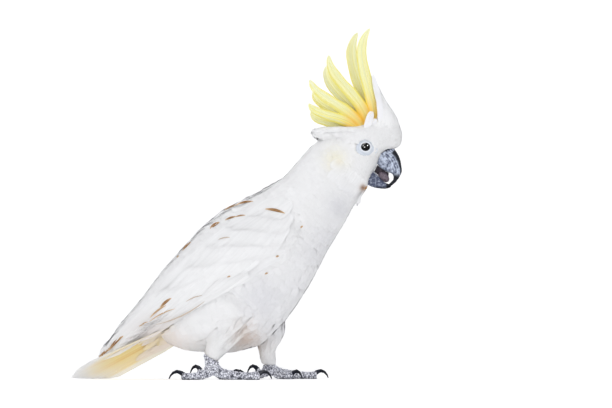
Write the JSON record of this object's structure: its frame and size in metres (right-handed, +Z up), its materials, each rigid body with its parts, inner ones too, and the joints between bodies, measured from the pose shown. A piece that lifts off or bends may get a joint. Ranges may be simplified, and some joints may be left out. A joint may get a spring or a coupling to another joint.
{
  "type": "sulphur-crested cockatoo figure",
  "caption": "Life-size white cockatoo standing with its crest raised, bill slightly open and tail end resting on the floor; a still display model.",
  "frame": {"origin": "on the floor under the middle of the bird's bounding box", "axes": "+X the way the bird faces, +Y its left side, +Z up"},
  "size_m": [0.3966, 0.1214, 0.4212],
  "materials": {
    "white_feather": "soft white feathers with faint warm and grey shading",
    "yellow_feather": "pale lemon-yellow crest feathers, deeper yellow at their roots",
    "eye": "wet, near-black eye",
    "bill": "dark grey horn with a powdery bloom, black at its edges and tip",
    "claw": "near-black horn",
    "scaly_skin": "grey scaly skin with darker gaps between its scales",
    "tongue": "dry purple-grey skin"
  },
  "bodies": {
    "root": {"claw_left_inner_back": "claw", "claw_left_inner_front": "claw", "claw_left_outer_back": "claw", "claw_left_outer_front": "claw", "claw_right_inner_back": "claw", "claw_right_inner_front": "claw", "claw_right_outer_back": "claw", "claw_right_outer_front": "claw", "crest_feather_1": "yellow_feather", "crest_feather_2": "yellow_feather", "crest_feather_3": "yellow_feather", "crest_feather_4": "yellow_feather", "crest_feather_5": "yellow_feather", "crest_feather_6": "yellow_feather", "crest_feather_7": "yellow_feather", "crest_feather_8": "yellow_feather", "crest_front": "white_feather", "eye_left": "eye", "eye_right": "eye", "foot_left": "scaly_skin", "foot_right": "scaly_skin", "head": "white_feather", "lower_bill": "bill", "mouth": "tongue", "neck": "white_feather", "tail": "white_feather", "thigh_left": "white_feather", "thigh_right": "white_feather", "tongue": "tongue", "trunk": "white_feather", "upper_bill": "bill", "wing_left": "white_feather", "wing_right": "white_feather"}
  },
  "joints": []
}
